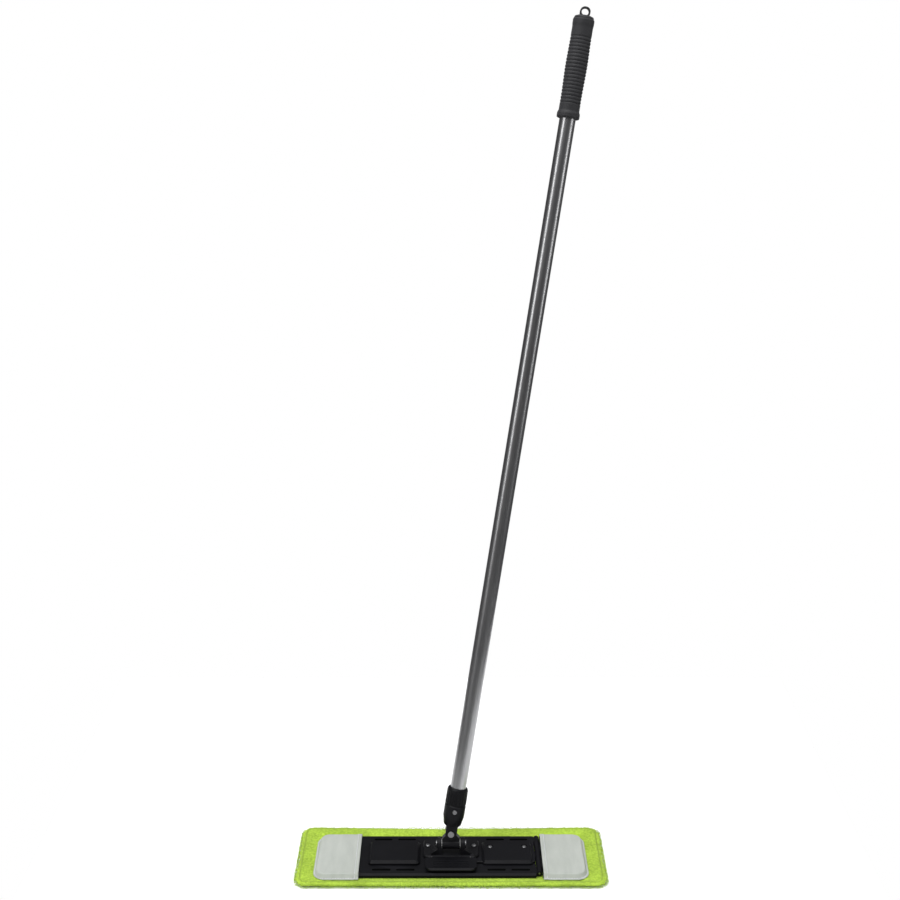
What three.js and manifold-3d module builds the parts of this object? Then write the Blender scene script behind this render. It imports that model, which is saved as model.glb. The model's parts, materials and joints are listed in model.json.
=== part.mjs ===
// Flat floor mop: a pocketed microfibre pad on a rigid plate with one folding end flap,
// a foot pedal that frees the flap, a two-axis swivel joint, and a tube handle with a grip.
// Millimetres, +Z up. The origin is on the floor under the middle of the plate, +X runs along
// the plate, and +Y points away from the user. The handle is modelled along its own +Z axis
// and leans in its group.
import * as THREE from "three";
import { mergeVertices } from "three/addons/utils/BufferGeometryUtils.js";
import Module from "manifold-3d";

const wasm = await Module();
wasm.setup();

// ---------------------------------------------------------------- driving dimensions
const GAP = 0.3; // left between two pieces that touch
const PAD_LENGTH = 440;
const PAD_DEPTH = 150;
const PAD_THICKNESS = 6;
const PAD_CORNER = 16;
const PAD_OFFSET = 8; // the pad reaches further behind the plate than in front of it

const PLATE_LENGTH = 376;
const PLATE_DEPTH = 100;
const PLATE_CORNER = 12;
const PLATE_BEVEL = 2.5;
const PLATE_BOTTOM = 0; // the head's heights are measured from the plate's underside
const PLATE_TOP = PLATE_BOTTOM + 6;
const RIB_RECESS = 2.6; // depth of the hollows between the ribs under the plate

const HINGE_X = 124; // the end flap folds up about a pin along Y
const HINGE_Z = PLATE_BOTTOM + 4.2;
const KNUCKLE_RADIUS = 3.9;
const HINGE_ROOM = 4.5; // from the hinge axis to the plate's and the flap's square ends

const POCKET_MOUTH = HINGE_X + HINGE_ROOM + 1;

const SPINE_START = 44; // raised spine on both sides of the hub
const SPINE_END = 117;
const SPINE_HALF_DEPTH = 28;
const SPINE_TOP = PLATE_TOP + 6.1;

const HUB_TOP = PLATE_TOP + 4.3;
const HUB_HALF_WIDTH = 40;
const HUB_FRONT = -11;
const HUB_BACK = 34;
const TILT_Z = 23.7; // fore-and-aft pivot, along X
const SIDE_OFFSET = 18; // side-to-side pivot above it, across the handle
const EAR_INNER = 13.6;
const EAR_OUTER = 19.5;
const EAR_RADIUS = 9;
const PIN_RADIUS = 3;
const PIN_HEAD_RADIUS = 4.5;
const PIN_HEAD = 1.8;
const BLOCK_RADIUS = 7.5;
const BLOCK_HALF_WIDTH = 12.4;
const LUG_HALF_DEPTH = 6;
const CHEEK_INNER = 7.2;
const CHEEK_OUTER = 11.6;
const CHEEK_RADIUS = 8;

const PEDAL_HALF_WIDTH = 36;
const PEDAL_Y = -14; // pedal pivot, along X
const PEDAL_Z = 9.9;
const PEDAL_FRONT = -50;
const TREAD_TOP = 11.9; // top of the pedal at its pivot
const TREAD_RISE = 2.2; // from there to its front edge
const ROD_Y = -21.5; // latch rod, along X
const ROD_Z = 7.1;
const ROD_RADIUS = 1.8;

const LEAN_BACK = 10; // degrees, at rest
const LEAN_SIDE = 8.95;
const TUBE_RADIUS = 11;
const TUBE_WALL = 1;
const COLLAR_RADIUS = 15;
const THREAD_RADIUS = 12.9;
// Stations along the handle, from the side-to-side pivot.
const SOCKET_TOP = 66;
const SOCKET_CUP_TOP = 41.5; // the threaded neck goes on up from here
const TUBE_START = 24;
const GRIP_START = 1008;
const GRIP_END = 1140;
const HANDLE_END = 1156;
const GRIP_RADIUS = 15;

// ---------------------------------------------------------------- materials
const plastic = (color, roughness) =>
  new THREE.MeshStandardMaterial({ color, roughness, metalness: 0 });
const metal = (color, roughness) =>
  new THREE.MeshStandardMaterial({ color, roughness, metalness: 1 });
const material = {
  plate: plastic(0x1b1b1e, 0.55),
  joint: plastic(0x2a2a2d, 0.5),
  grip: plastic(0x3c3c3f, 0.7),
  microfibre: plastic(0x9ac43c, 0.95),
  pocket: plastic(0xd6d6e0, 0.9),
  washer: plastic(0xe8e8e4, 0.4),
  tube: metal(0x9a9b9e, 0.35),
  steel: metal(0xb4b4b4, 0.3),
};

// ---------------------------------------------------------------- solids
// A closed three.js geometry as a solid that can be joined and cut.
function solid(geometry) {
  const bare = geometry.index ? geometry.toNonIndexed() : geometry.clone();
  bare.deleteAttribute("normal");
  bare.deleteAttribute("uv");
  const merged = mergeVertices(bare, 1e-4);
  const corners = merged.index.array;
  const triangles = [];
  for (let i = 0; i < corners.length; i += 3) {
    const [a, b, c] = corners.slice(i, i + 3);
    if (a !== b && b !== c && c !== a) triangles.push(a, b, c);
  }
  return new wasm.Manifold(
    new wasm.Mesh({
      numProp: 3,
      vertProperties: merged.attributes.position.array,
      triVerts: new Uint32Array(triangles),
    }),
  );
}

function geometryOf(shape) {
  const made = shape.getMesh();
  const geometry = new THREE.BufferGeometry();
  const position = new THREE.BufferAttribute(new Float32Array(made.vertProperties), 3);
  geometry.setAttribute("position", position);
  geometry.setIndex(new THREE.BufferAttribute(new Uint32Array(made.triVerts), 1));
  geometry.computeVertexNormals();
  return geometry;
}

const join = (first, ...others) => others.reduce((sum, part) => sum.add(part), first);
const cut = (first, ...tools) => tools.reduce((rest, tool) => rest.subtract(tool), first);

function box(x0, x1, y0, y1, z0, z1) {
  const block = new THREE.BoxGeometry(x1 - x0, y1 - y0, z1 - z0);
  return solid(block.translate((x0 + x1) / 2, (y0 + y1) / 2, (z0 + z1) / 2));
}

// A round bar along an axis; centre holds the other two coordinates in X, Y, Z order.
function bar(axis, radius, from, to, centre = [0, 0], sides = 20) {
  const [a, b] = centre;
  const middle = (from + to) / 2;
  const round = new THREE.CylinderGeometry(radius, radius, to - from, sides);
  if (axis === "x") round.rotateZ(-Math.PI / 2).translate(middle, a, b);
  if (axis === "y") round.translate(a, middle, b);
  if (axis === "z") round.rotateX(Math.PI / 2).translate(a, b, middle);
  return solid(round);
}

// A solid of revolution about Z from [radius, height] pairs that start and end on the axis.
function turned(profile, sides = 24) {
  const points = profile.map(([radius, height]) => new THREE.Vector2(radius, height));
  return solid(new THREE.LatheGeometry(points, sides).rotateX(Math.PI / 2));
}

function roundedRectangle(x0, x1, y0, y1, radius) {
  const shape = new THREE.Shape();
  shape.absarc(x1 - radius, y1 - radius, radius, 0, Math.PI / 2);
  shape.absarc(x0 + radius, y1 - radius, radius, Math.PI / 2, Math.PI);
  shape.absarc(x0 + radius, y0 + radius, radius, Math.PI, 1.5 * Math.PI);
  shape.absarc(x1 - radius, y0 + radius, radius, 1.5 * Math.PI, 2 * Math.PI);
  shape.closePath();
  return shape;
}

function polygon(points) {
  return new THREE.Shape(points.map(([x, y]) => new THREE.Vector2(x, y)));
}

// An upright slab whose top edge is bevelled and whose bottom edge is square.
function slab(shape, z0, z1, bevel = 0) {
  const geometry = new THREE.ExtrudeGeometry(shape, {
    depth: z1 - z0,
    bevelEnabled: bevel > 0,
    bevelThickness: bevel,
    bevelSize: bevel,
    bevelOffset: -bevel,
    bevelSegments: 1,
    curveSegments: 3,
  });
  const top = z1 - z0 + (bevel > 0 ? bevel : 0);
  const raw = solid(geometry.translate(0, 0, z1 - top));
  return bevel > 0 ? cut(raw, box(-1000, 1000, -1000, 1000, z0 - 50, z0)) : raw;
}

// A profile in Y and Z, swept along X.
function sweptAlongX(points, x0, x1) {
  const geometry = new THREE.ExtrudeGeometry(polygon(points), {
    depth: x1 - x0,
    bevelEnabled: false,
  });
  const turn = new THREE.Matrix4().set(0, 0, 1, x0, 1, 0, 0, 0, 0, 1, 0, 0, 0, 0, 0, 1);
  return solid(geometry.applyMatrix4(turn));
}

// A profile in X and Z, swept along Y.
function sweptAlongY(points, y0, y1) {
  const geometry = new THREE.ExtrudeGeometry(polygon(points), {
    depth: y1 - y0,
    bevelEnabled: false,
  });
  return solid(geometry.rotateX(Math.PI / 2).translate(0, y1, 0));
}

class Helix extends THREE.Curve {
  constructor(radius, length, turns) {
    super();
    Object.assign(this, { radius, length, turns });
  }
  getPoint(t, target = new THREE.Vector3()) {
    const angle = 2 * Math.PI * this.turns * t;
    return target.set(
      this.radius * Math.cos(angle),
      this.radius * Math.sin(angle),
      this.length * t,
    );
  }
}

function coil(radius, wire, length, turns) {
  const section = new THREE.Shape().absarc(0, 0, wire, 0, 2 * Math.PI);
  return new THREE.ExtrudeGeometry(section, {
    extrudePath: new Helix(radius, length - 2 * wire, turns),
    steps: turns * 8,
    curveSegments: 3,
    bevelEnabled: false,
  }).translate(0, 0, wire);
}

// ---------------------------------------------------------------- scene graph
const mop = new THREE.Group();
const head = new THREE.Group(); // everything above the pad
head.position.z = PAD_THICKNESS + GAP;
mop.add(head);
const swivel = new THREE.Group();
swivel.position.set(0, 0, TILT_Z);
swivel.rotation.x = THREE.MathUtils.degToRad(-LEAN_BACK);
head.add(swivel);
const handle = new THREE.Group();
handle.position.set(0, 0, SIDE_OFFSET);
handle.rotation.y = THREE.MathUtils.degToRad(LEAN_SIDE);
swivel.add(handle);

function place(group, name, shape, look) {
  const geometry = shape.isBufferGeometry ? shape : geometryOf(shape);
  const mesh = new THREE.Mesh(geometry, material[look]);
  mesh.name = name;
  group.add(mesh);
  return mesh;
}

// ---------------------------------------------------------------- pad and pockets
function padSlab() {
  const [x, y] = [PAD_LENGTH / 2, PAD_DEPTH / 2];
  const outline = roundedRectangle(-x, x, PAD_OFFSET - y, PAD_OFFSET + y, PAD_CORNER);
  return slab(outline, 0, PAD_THICKNESS, 2);
}

// A cloth pocket sewn over one end of the plate, open towards the middle.
function pocket() {
  const cloth = 1.6;
  const [x, y] = [PLATE_LENGTH / 2 + GAP, PLATE_DEPTH / 2 + GAP];
  const top = PLATE_TOP + GAP;
  const outline = roundedRectangle(0, x + 4, -y - 3, y + 3, PLATE_CORNER + 3);
  const inside = roundedRectangle(-50, x, -y, y, PLATE_CORNER);
  const shell = cut(
    slab(outline, PLATE_BOTTOM, top + cloth, 2.5),
    slab(inside, PLATE_BOTTOM - 1, top),
  );
  return cut(shell, box(-10, POCKET_MOUTH, -100, 100, -1, 50));
}

function addPad() {
  const whole = padSlab();
  const seam = 0.2;
  const endPart = box(HINGE_X + seam, 300, -200, 200, -10, 50);
  const mainPart = box(-300, HINGE_X - seam, -200, 200, -10, 50);
  place(mop, "pad_main", whole.intersect(mainPart), "microfibre");
  place(mop, "pad_end", whole.intersect(endPart), "microfibre");
  place(head, "pocket_right", pocket(), "pocket");
  place(head, "pocket_left", pocket().mirror([1, 0, 0]), "pocket");
}

// ---------------------------------------------------------------- plate and end flap
function plateSlab() {
  const [x, y] = [PLATE_LENGTH / 2, PLATE_DEPTH / 2];
  return slab(roundedRectangle(-x, x, -y, y, PLATE_CORNER), PLATE_BOTTOM, PLATE_TOP, PLATE_BEVEL);
}

// Hollows between the ribs on the underside, in three rows.
function ribRecesses(columns, rows) {
  const tools = [];
  for (const [x0, x1] of columns) {
    for (const [y0, y1] of rows) {
      tools.push(box(x0, x1, y0, y1, PLATE_BOTTOM - 1, PLATE_BOTTOM + RIB_RECESS));
    }
  }
  return tools;
}

function drainSlots() {
  const tools = [];
  const halfLength = 11;
  const radius = 2.3;
  for (const x of [-98, -64, 64, 98]) {
    for (const y of [-39, 39]) {
      const [x0, x1] = [x - halfLength - radius, x + halfLength + radius];
      tools.push(slab(roundedRectangle(x0, x1, y - radius, y + radius, radius - 0.01), -5, 30));
    }
  }
  return tools;
}

// Hinge barrels over the stretches given along Y, with webs towards side -1 or +1.
function knuckles(stretches, side) {
  const webEnd = HINGE_X + side * (HINGE_ROOM + 1);
  const [x0, x1] = side < 0 ? [webEnd, HINGE_X] : [HINGE_X, webEnd];
  return stretches.map(([y0, y1]) =>
    join(
      bar("y", KNUCKLE_RADIUS, y0, y1, [HINGE_X, HINGE_Z], 14),
      box(x0, x1, y0, y1, PLATE_BOTTOM + GAP, HINGE_Z + 1.5),
    ),
  );
}

const PLATE_KNUCKLES = [[-46, -32], [-7, 7], [32, 46]];
const FLAP_KNUCKLES = [[-31.6, -7.4], [7.4, 31.6]];
const OUTER_ROWS = [[-47, -30], [30, 47]];
const ALL_ROWS = [[-47, -17], [-14, 14], [17, 47]];
const HUB_SCREWS = [[-33, 15], [33, 15], [-14, 27], [14, 27]];
const COVER_SCREWS = [[56, 12], [105, 12]];

function spineSlab(z0) {
  const outline = roundedRectangle(SPINE_START, SPINE_END, -SPINE_HALF_DEPTH, SPINE_HALF_DEPTH, 6);
  return slab(outline, z0, SPINE_TOP, 3.5);
}

function basePlate() {
  const main = plateSlab().intersect(box(-300, HINGE_X - HINGE_ROOM, -80, 80, -1, 40));
  const leftSpine = spineSlab(PLATE_TOP - 1).mirror([1, 0, 0]);
  const spineHollow = box(4 - SPINE_END, -SPINE_START - 4, -24, 24, -1, SPINE_TOP - 2);
  const shape = join(main, leftSpine, ...knuckles(PLATE_KNUCKLES, -1));
  return cut(
    shape,
    spineHollow,
    ...ribRecesses([[-182, -122]], ALL_ROWS),
    ...ribRecesses([[-119, -48], [48, 115]], OUTER_ROWS),
    ...drainSlots(),
    ...[...HUB_SCREWS, ...COVER_SCREWS].map((at) => bar("z", 1.8, 1.7, 30, at, 12)),
    bar("y", 1.8, -60, 60, [HINGE_X, HINGE_Z], 14),
    bar("z", 5.2, 2.5, 30, [0, -38], 16), // pedal spring's well
    box(20, 200, ROD_Y - 3.4, ROD_Y + 3.4, 3.8, 30), // latch rod's channel
    box(5, 27, ROD_Y - 12.5, ROD_Y + 3.4, 3.8, 30), // room for its ramp
  );
}

function endFlap() {
  const main = plateSlab().intersect(box(HINGE_X + HINGE_ROOM, 300, -80, 80, -1, 40));
  return cut(
    join(main, ...knuckles(FLAP_KNUCKLES, 1)),
    ...ribRecesses([[134, 182]], ALL_ROWS),
    bar("y", 1.8, -60, 60, [HINGE_X, HINGE_Z], 14),
  );
}

function latchCover() {
  const hollow = box(SPINE_START + 2, SPINE_END + 5, -25.5, 25.5, 0, SPINE_TOP - 1.6);
  const bosses = COVER_SCREWS.map((at) => bar("z", 4.2, PLATE_TOP + GAP, SPINE_TOP - 1, at, 16));
  const springStop = box(65.5, 68.5, ROD_Y - 3, ROD_Y + 3, PLATE_TOP + GAP, SPINE_TOP - 1);
  const rodWay = box(SPINE_START - 5, 80, ROD_Y - 2.2, ROD_Y + 2.2, 0, ROD_Z + 2.2);
  return cut(
    join(cut(spineSlab(PLATE_TOP + GAP), hollow), springStop, ...bosses),
    rodWay,
    ...COVER_SCREWS.map((at) => bar("z", 1.8, 0, 40, at, 12)),
    ...COVER_SCREWS.map((at) => bar("z", 3.9, SPINE_TOP - 2.2, 40, at, 16)),
  );
}

// A pan-head screw whose head rests on height z and whose shank goes down.
function screw([x, y], z, length) {
  const head = turned([[0, z], [3.5, z], [3.5, z + 1.1], [2.4, z + 1.9], [0, z + 1.9]], 12);
  const shank = bar("z", 1.5, z - length, z + 0.5, [0, 0], 10);
  return join(head, shank).translate([x, y, 0]);
}

// ---------------------------------------------------------------- hub and pedal
function hub() {
  const base = slab(
    roundedRectangle(-HUB_HALF_WIDTH, HUB_HALF_WIDTH, HUB_FRONT, HUB_BACK, 8),
    PLATE_TOP + GAP,
    HUB_TOP,
    1.5,
  );
  const top = TILT_Z + EAR_RADIUS;
  const flare = [
    [-HUB_HALF_WIDTH + 3, HUB_TOP - 1],
    [HUB_HALF_WIDTH - 3, HUB_TOP - 1],
    [26, HUB_TOP + 4],
    [EAR_OUTER, TILT_Z - 5],
    [EAR_OUTER, top],
    [-EAR_OUTER, top],
    [-EAR_OUTER, TILT_Z - 5],
    [-26, HUB_TOP + 4],
  ];
  const rounded = join(
    bar("x", EAR_RADIUS, -60, 60, [0, TILT_Z]),
    box(-60, 60, -EAR_RADIUS, EAR_RADIUS, 0, TILT_Z),
  );
  const yoke = sweptAlongY(flare, -EAR_RADIUS, EAR_RADIUS).intersect(rounded);
  const lugX = [27.6, 33];
  const lugs = [-1, 1].map((side) => {
    const [x0, x1] = side < 0 ? [-lugX[1], -lugX[0]] : lugX;
    return join(
      bar("x", 3, x0, x1, [PEDAL_Y, PEDAL_Z], 16),
      box(x0, x1, PEDAL_Y, HUB_FRONT + 2, PLATE_TOP + GAP, PEDAL_Z + 2),
    );
  });
  return cut(
    join(base, yoke, ...lugs),
    box(-EAR_INNER, EAR_INNER, -50, 50, HUB_TOP, 100),
    bar("x", PIN_RADIUS + GAP, -60, 60, [0, TILT_Z]),
    bar("x", 1.6, -40, 40, [PEDAL_Y, PEDAL_Z], 16),
    ...HUB_SCREWS.map((at) => bar("z", 1.8, 0, 40, at, 12)),
  );
}

// Height of the pedal's top at a place in Y; it rises towards its front.
function treadTop(y) {
  return TREAD_TOP + (TREAD_RISE * (PEDAL_Y - y)) / (PEDAL_Y - PEDAL_FRONT - 2);
}

function releasePedal() {
  const tread = sweptAlongX(
    [[PEDAL_Y, TREAD_TOP - 4], [PEDAL_Y, TREAD_TOP], [PEDAL_FRONT + 2, TREAD_TOP + TREAD_RISE],
      [PEDAL_FRONT, TREAD_TOP + 0.8], [PEDAL_FRONT, TREAD_TOP - 1]],
    -PEDAL_HALF_WIDTH,
    PEDAL_HALF_WIDTH,
  );
  const outline = roundedRectangle(-PEDAL_HALF_WIDTH, PEDAL_HALF_WIDTH, PEDAL_FRONT, 20, 9);
  const treadRibs = [-43, -38, -33, -28].map((y) =>
    box(-25, 25, y - 0.8, y + 0.8, TREAD_TOP - 0.9, treadTop(y) + 0.7),
  );
  const barrel = bar("x", 2.6, -27.2, 27.2, [PEDAL_Y, PEDAL_Z], 16);
  const corners = [
    box(27.2, 60, PEDAL_Y - 3.6, 0, 0, 40),
    box(-60, -27.2, PEDAL_Y - 3.6, 0, 0, 40),
  ];
  const shape = cut(join(tread.intersect(slab(outline, 0, 40)), barrel, ...treadRibs), ...corners);
  const ramp = sweptAlongY([[16.8, 6.5], [22, 6.5], [22, 10.7], [15.2, 10.7], [15.2, 8.1]], -33, -27.6);
  const hollow = cut(
    shape,
    box(6, 26, ROD_Y - 12.5, ROD_Y + 4, 0, 10.7), // room for the latch rod's ramp
    box(20, 60, ROD_Y - 2.6, ROD_Y + 2.6, 0, 10.5), // and for its shaft
  );
  return cut(
    join(hollow, ramp),
    bar("x", 1.6, -40, 40, [PEDAL_Y, PEDAL_Z], 16),
    bar("z", 5.6, 0, 11.5, [0, -38], 16), // seat of the pedal spring
  );
}

function latchRod() {
  const ramp = sweptAlongY([[9, 4.3], [18, 4.3], [14.6, 7.7], [9, 7.7]], -33, -21.4);
  const shaft = bar("x", ROD_RADIUS, 12, SPINE_END, [ROD_Y, ROD_Z], 16);
  const collar = bar("x", 2.9, 100, 103, [ROD_Y, ROD_Z], 16);
  return join(ramp, shaft, collar);
}

function addPlate() {
  place(head, "base_plate", basePlate(), "plate");
  place(head, "end_flap", endFlap(), "plate");
  place(head, "latch_cover", latchCover(), "plate");
  place(head, "hub", hub(), "joint");
  HUB_SCREWS.forEach((at, i) => {
    place(head, `hub_screw_${i + 1}`, screw(at, HUB_TOP + GAP, 8), "steel");
  });
  COVER_SCREWS.forEach((at, i) => {
    place(head, `cover_screw_${i + 1}`, screw(at, SPINE_TOP - 2.2 + GAP, 8), "steel");
  });
  place(head, "flap_hinge_pin", bar("y", 1.5, -46, 46, [HINGE_X, HINGE_Z], 14), "steel");
  place(head, "release_pedal", releasePedal(), "plate");
  place(head, "pedal_pin", bar("x", 1.3, -33, 33, [PEDAL_Y, PEDAL_Z], 16), "steel");
  place(head, "pedal_spring", coil(4, 0.5, 8.4, 4), "steel").position.set(0, -38, 2.8);
  place(head, "latch_rod", latchRod(), "joint");
  const spring = place(head, "latch_spring", coil(2.6, 0.35, 30, 6), "steel");
  spring.rotation.y = Math.PI / 2;
  spring.position.set(69, ROD_Y, ROD_Z);
}

// ---------------------------------------------------------------- swivel joint
// A shouldered pin along X from -reach to reach, with its head on the +X side.
function headedPin(reach) {
  return join(
    bar("x", PIN_RADIUS, -reach, reach),
    bar("x", PIN_HEAD_RADIUS, reach - 0.01, reach + PIN_HEAD),
  );
}

function ring(outer, inner, from, to) {
  return cut(bar("x", outer, from, to, [0, 0], 16), bar("x", inner, from - 1, to + 1, [0, 0], 16));
}

function swivelBlock() {
  const shoulder = SIDE_OFFSET - 9;
  const column = sweptAlongY([
    [-BLOCK_HALF_WIDTH, 0], [BLOCK_HALF_WIDTH, 0], [BLOCK_HALF_WIDTH, shoulder],
    [BLOCK_RADIUS, shoulder + 5], [BLOCK_RADIUS, SIDE_OFFSET], [-BLOCK_RADIUS, SIDE_OFFSET],
    [-BLOCK_RADIUS, shoulder + 5], [-BLOCK_HALF_WIDTH, shoulder],
  ], -LUG_HALF_DEPTH, LUG_HALF_DEPTH);
  return cut(
    join(
      bar("x", BLOCK_RADIUS, -BLOCK_HALF_WIDTH, BLOCK_HALF_WIDTH),
      column,
      bar("y", BLOCK_RADIUS, -LUG_HALF_DEPTH, LUG_HALF_DEPTH, [0, SIDE_OFFSET]),
    ),
    bar("x", PIN_RADIUS + GAP, -20, 20),
    bar("y", PIN_RADIUS + GAP, -20, 20, [0, SIDE_OFFSET]),
  );
}

function addSwivel() {
  const pinReach = EAR_OUTER + GAP;
  const tiltPivot = new THREE.Group();
  tiltPivot.position.z = TILT_Z;
  head.add(tiltPivot);
  place(tiltPivot, "tilt_pin", headedPin(pinReach), "steel");
  place(tiltPivot, "tilt_pin_clip", ring(PIN_HEAD_RADIUS, PIN_RADIUS + GAP, -pinReach - 1.5,
    -pinReach), "steel");
  const washer = ring(7, PIN_RADIUS + GAP, BLOCK_HALF_WIDTH + GAP, EAR_INNER - GAP);
  place(tiltPivot, "tilt_washer_right", washer, "washer");
  place(tiltPivot, "tilt_washer_left", washer.mirror([1, 0, 0]), "washer");

  place(swivel, "swivel_block", swivelBlock(), "joint");
  const sidePivot = new THREE.Group();
  sidePivot.position.z = SIDE_OFFSET;
  sidePivot.rotation.z = -Math.PI / 2;
  swivel.add(sidePivot);
  const sideReach = CHEEK_OUTER + GAP;
  place(sidePivot, "side_pin", headedPin(sideReach), "steel");
  place(sidePivot, "side_pin_clip", ring(PIN_HEAD_RADIUS, PIN_RADIUS + GAP, -sideReach - 1.5,
    -sideReach), "steel");
  const thin = ring(7, PIN_RADIUS + GAP, LUG_HALF_DEPTH + GAP, CHEEK_INNER - GAP);
  place(sidePivot, "side_washer_front", thin, "washer");
  place(sidePivot, "side_washer_back", thin.mirror([1, 0, 0]), "washer");
}

// ---------------------------------------------------------------- handle
// The fork that straddles the swivel block, and the cup that takes the tube.
function socket() {
  const cup = turned([
    [0, 10.6], [11.5, 10.6], [12.5, 12], [COLLAR_RADIUS - 0.5, 22], [COLLAR_RADIUS, 24],
    [COLLAR_RADIUS, SOCKET_CUP_TOP - 1.5], [COLLAR_RADIUS - 1, SOCKET_CUP_TOP],
    [THREAD_RADIUS, SOCKET_CUP_TOP], [THREAD_RADIUS, SOCKET_TOP - 2], [0, SOCKET_TOP - 2],
  ]);
  const arm = join(
    bar("y", CHEEK_RADIUS, -CHEEK_OUTER, CHEEK_OUTER),
    box(-CHEEK_RADIUS, CHEEK_RADIUS, -CHEEK_OUTER, CHEEK_OUTER, 0, 14),
  );
  const slot = join(
    bar("y", CHEEK_RADIUS + 2, -CHEEK_INNER, CHEEK_INNER),
    box(-30, 30, -CHEEK_INNER, CHEEK_INNER, -20, 6),
  );
  return cut(
    join(cup, arm),
    slot,
    bar("y", PIN_RADIUS + GAP, -30, 30),
    bar("z", TUBE_RADIUS + GAP, TUBE_START - GAP, 100),
    bar("y", 1.9, -30, 0, [0, 34], 12),
  );
}

function socketCollar() {
  const start = SOCKET_CUP_TOP + GAP;
  return cut(
    turned([
      [0, start], [COLLAR_RADIUS - 0.8, start], [COLLAR_RADIUS, start + 1],
      [COLLAR_RADIUS - 0.4, SOCKET_TOP - 3], [COLLAR_RADIUS - 1.6, SOCKET_TOP], [0, SOCKET_TOP],
    ]),
    bar("z", THREAD_RADIUS + GAP, start - 2, SOCKET_TOP - 1.7),
    bar("z", TUBE_RADIUS + GAP, start - 2, 100),
  );
}

function tube() {
  const inner = TUBE_RADIUS - TUBE_WALL;
  return cut(
    bar("z", TUBE_RADIUS, TUBE_START, GRIP_END - 3),
    bar("z", inner, 0, 2000),
    bar("y", 1.9, -30, 0, [0, 34], 12),
  );
}

function tubePlug() {
  const radius = TUBE_RADIUS - TUBE_WALL - GAP;
  return cut(
    bar("z", radius, TUBE_START, TUBE_START + 30),
    bar("y", 1.9, -30, -4, [0, 34], 12),
  );
}

function socketScrew() {
  const head = bar("y", 3.2, -COLLAR_RADIUS - 1.6, -COLLAR_RADIUS - 0.1, [0, 34], 16);
  const shank = bar("y", 1.5, -COLLAR_RADIUS - 0.5, -5, [0, 34], 12);
  return join(head, shank);
}

function grip() {
  const lip = GRIP_RADIUS + 0.5;
  const bulge = [[GRIP_RADIUS - 1.6, 10], [GRIP_RADIUS - 1, 34], [GRIP_RADIUS, 66],
    [GRIP_RADIUS - 0.4, 98], [GRIP_RADIUS - 1, 119]];
  return cut(
    turned([
      [0, GRIP_START], [lip - 1.5, GRIP_START], [lip, GRIP_START + 2],
      [lip - 0.3, GRIP_START + 6],
      ...bulge.map(([radius, along]) => [radius, GRIP_START + along]),
      [lip - 0.5, GRIP_END - 5], [lip - 1.5, GRIP_END], [0, GRIP_END],
    ]),
    bar("z", TUBE_RADIUS + GAP, 0, 2000),
  );
}

// The end cap plugs into the tube and carries the eye that the mop hangs from.
function hangerCap() {
  const plugRadius = TUBE_RADIUS - TUBE_WALL - GAP;
  const flange = GRIP_END + GAP;
  const body = turned([
    [0, GRIP_END - 30], [plugRadius, GRIP_END - 30], [plugRadius, flange], [13.6, flange],
    [12.6, flange + 2.4], [9, flange + 3.8], [0, flange + 3.8],
  ]);
  const eyeShape = roundedRectangle(-7, 7, flange + 1, HANDLE_END, 6.4);
  const holeShape = roundedRectangle(-4.8, 4.8, HANDLE_END - 11.4, HANDLE_END - 2.2, 4.5);
  const upright = (shape, halfDepth) =>
    solid(
      new THREE.ExtrudeGeometry(shape, {
        depth: 2 * halfDepth,
        bevelEnabled: false,
        curveSegments: 6,
      })
        .rotateX(Math.PI / 2)
        .translate(0, halfDepth, 0),
    );
  return cut(join(body, upright(eyeShape, 3)), upright(holeShape, 20));
}

function addHandle() {
  place(handle, "socket", socket(), "joint");
  place(handle, "socket_collar", socketCollar(), "joint");
  place(handle, "socket_screw", socketScrew(), "steel");
  place(handle, "tube_plug", tubePlug(), "joint");
  place(handle, "tube", tube(), "tube");
  place(handle, "grip", grip(), "grip");
  place(handle, "hanger_cap", hangerCap(), "grip");
}

addPad();
addPlate();
addSwivel();
addHandle();

export default mop;
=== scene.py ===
"""Looks for a flat floor mop: microfibre pad, cloth pockets, moulded plastics, tube and grip."""

import json
import math
import random

import bpy
from mathutils import Matrix, Vector, noise
from mathutils.bvhtree import BVHTree


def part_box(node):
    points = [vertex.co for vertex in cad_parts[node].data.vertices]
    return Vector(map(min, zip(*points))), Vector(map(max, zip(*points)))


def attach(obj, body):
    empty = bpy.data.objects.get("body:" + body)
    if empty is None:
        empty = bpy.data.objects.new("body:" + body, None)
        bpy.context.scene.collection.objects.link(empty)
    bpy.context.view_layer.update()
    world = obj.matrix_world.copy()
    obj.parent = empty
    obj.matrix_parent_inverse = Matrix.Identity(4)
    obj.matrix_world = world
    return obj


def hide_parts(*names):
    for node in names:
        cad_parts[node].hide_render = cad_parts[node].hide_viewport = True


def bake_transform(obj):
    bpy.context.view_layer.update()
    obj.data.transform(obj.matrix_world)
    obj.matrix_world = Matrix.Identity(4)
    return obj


MM = 0.001
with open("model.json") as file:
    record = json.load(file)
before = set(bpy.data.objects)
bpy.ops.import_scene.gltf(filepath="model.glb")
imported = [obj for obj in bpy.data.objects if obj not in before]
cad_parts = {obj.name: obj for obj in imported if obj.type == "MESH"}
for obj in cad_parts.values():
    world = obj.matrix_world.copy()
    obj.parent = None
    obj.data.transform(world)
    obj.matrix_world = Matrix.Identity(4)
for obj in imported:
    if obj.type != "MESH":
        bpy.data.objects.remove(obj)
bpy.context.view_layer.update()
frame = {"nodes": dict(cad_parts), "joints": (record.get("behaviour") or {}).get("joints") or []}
nodes = frame["nodes"]


# ---------------------------------------------------------------- camera, light and floor
CAMERA_PLACE = (-0.0014, -1.820, 1.1635)
CAMERA_TILT_DOWN = 16.74
CAMERA_LENS = 58.02


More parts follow.
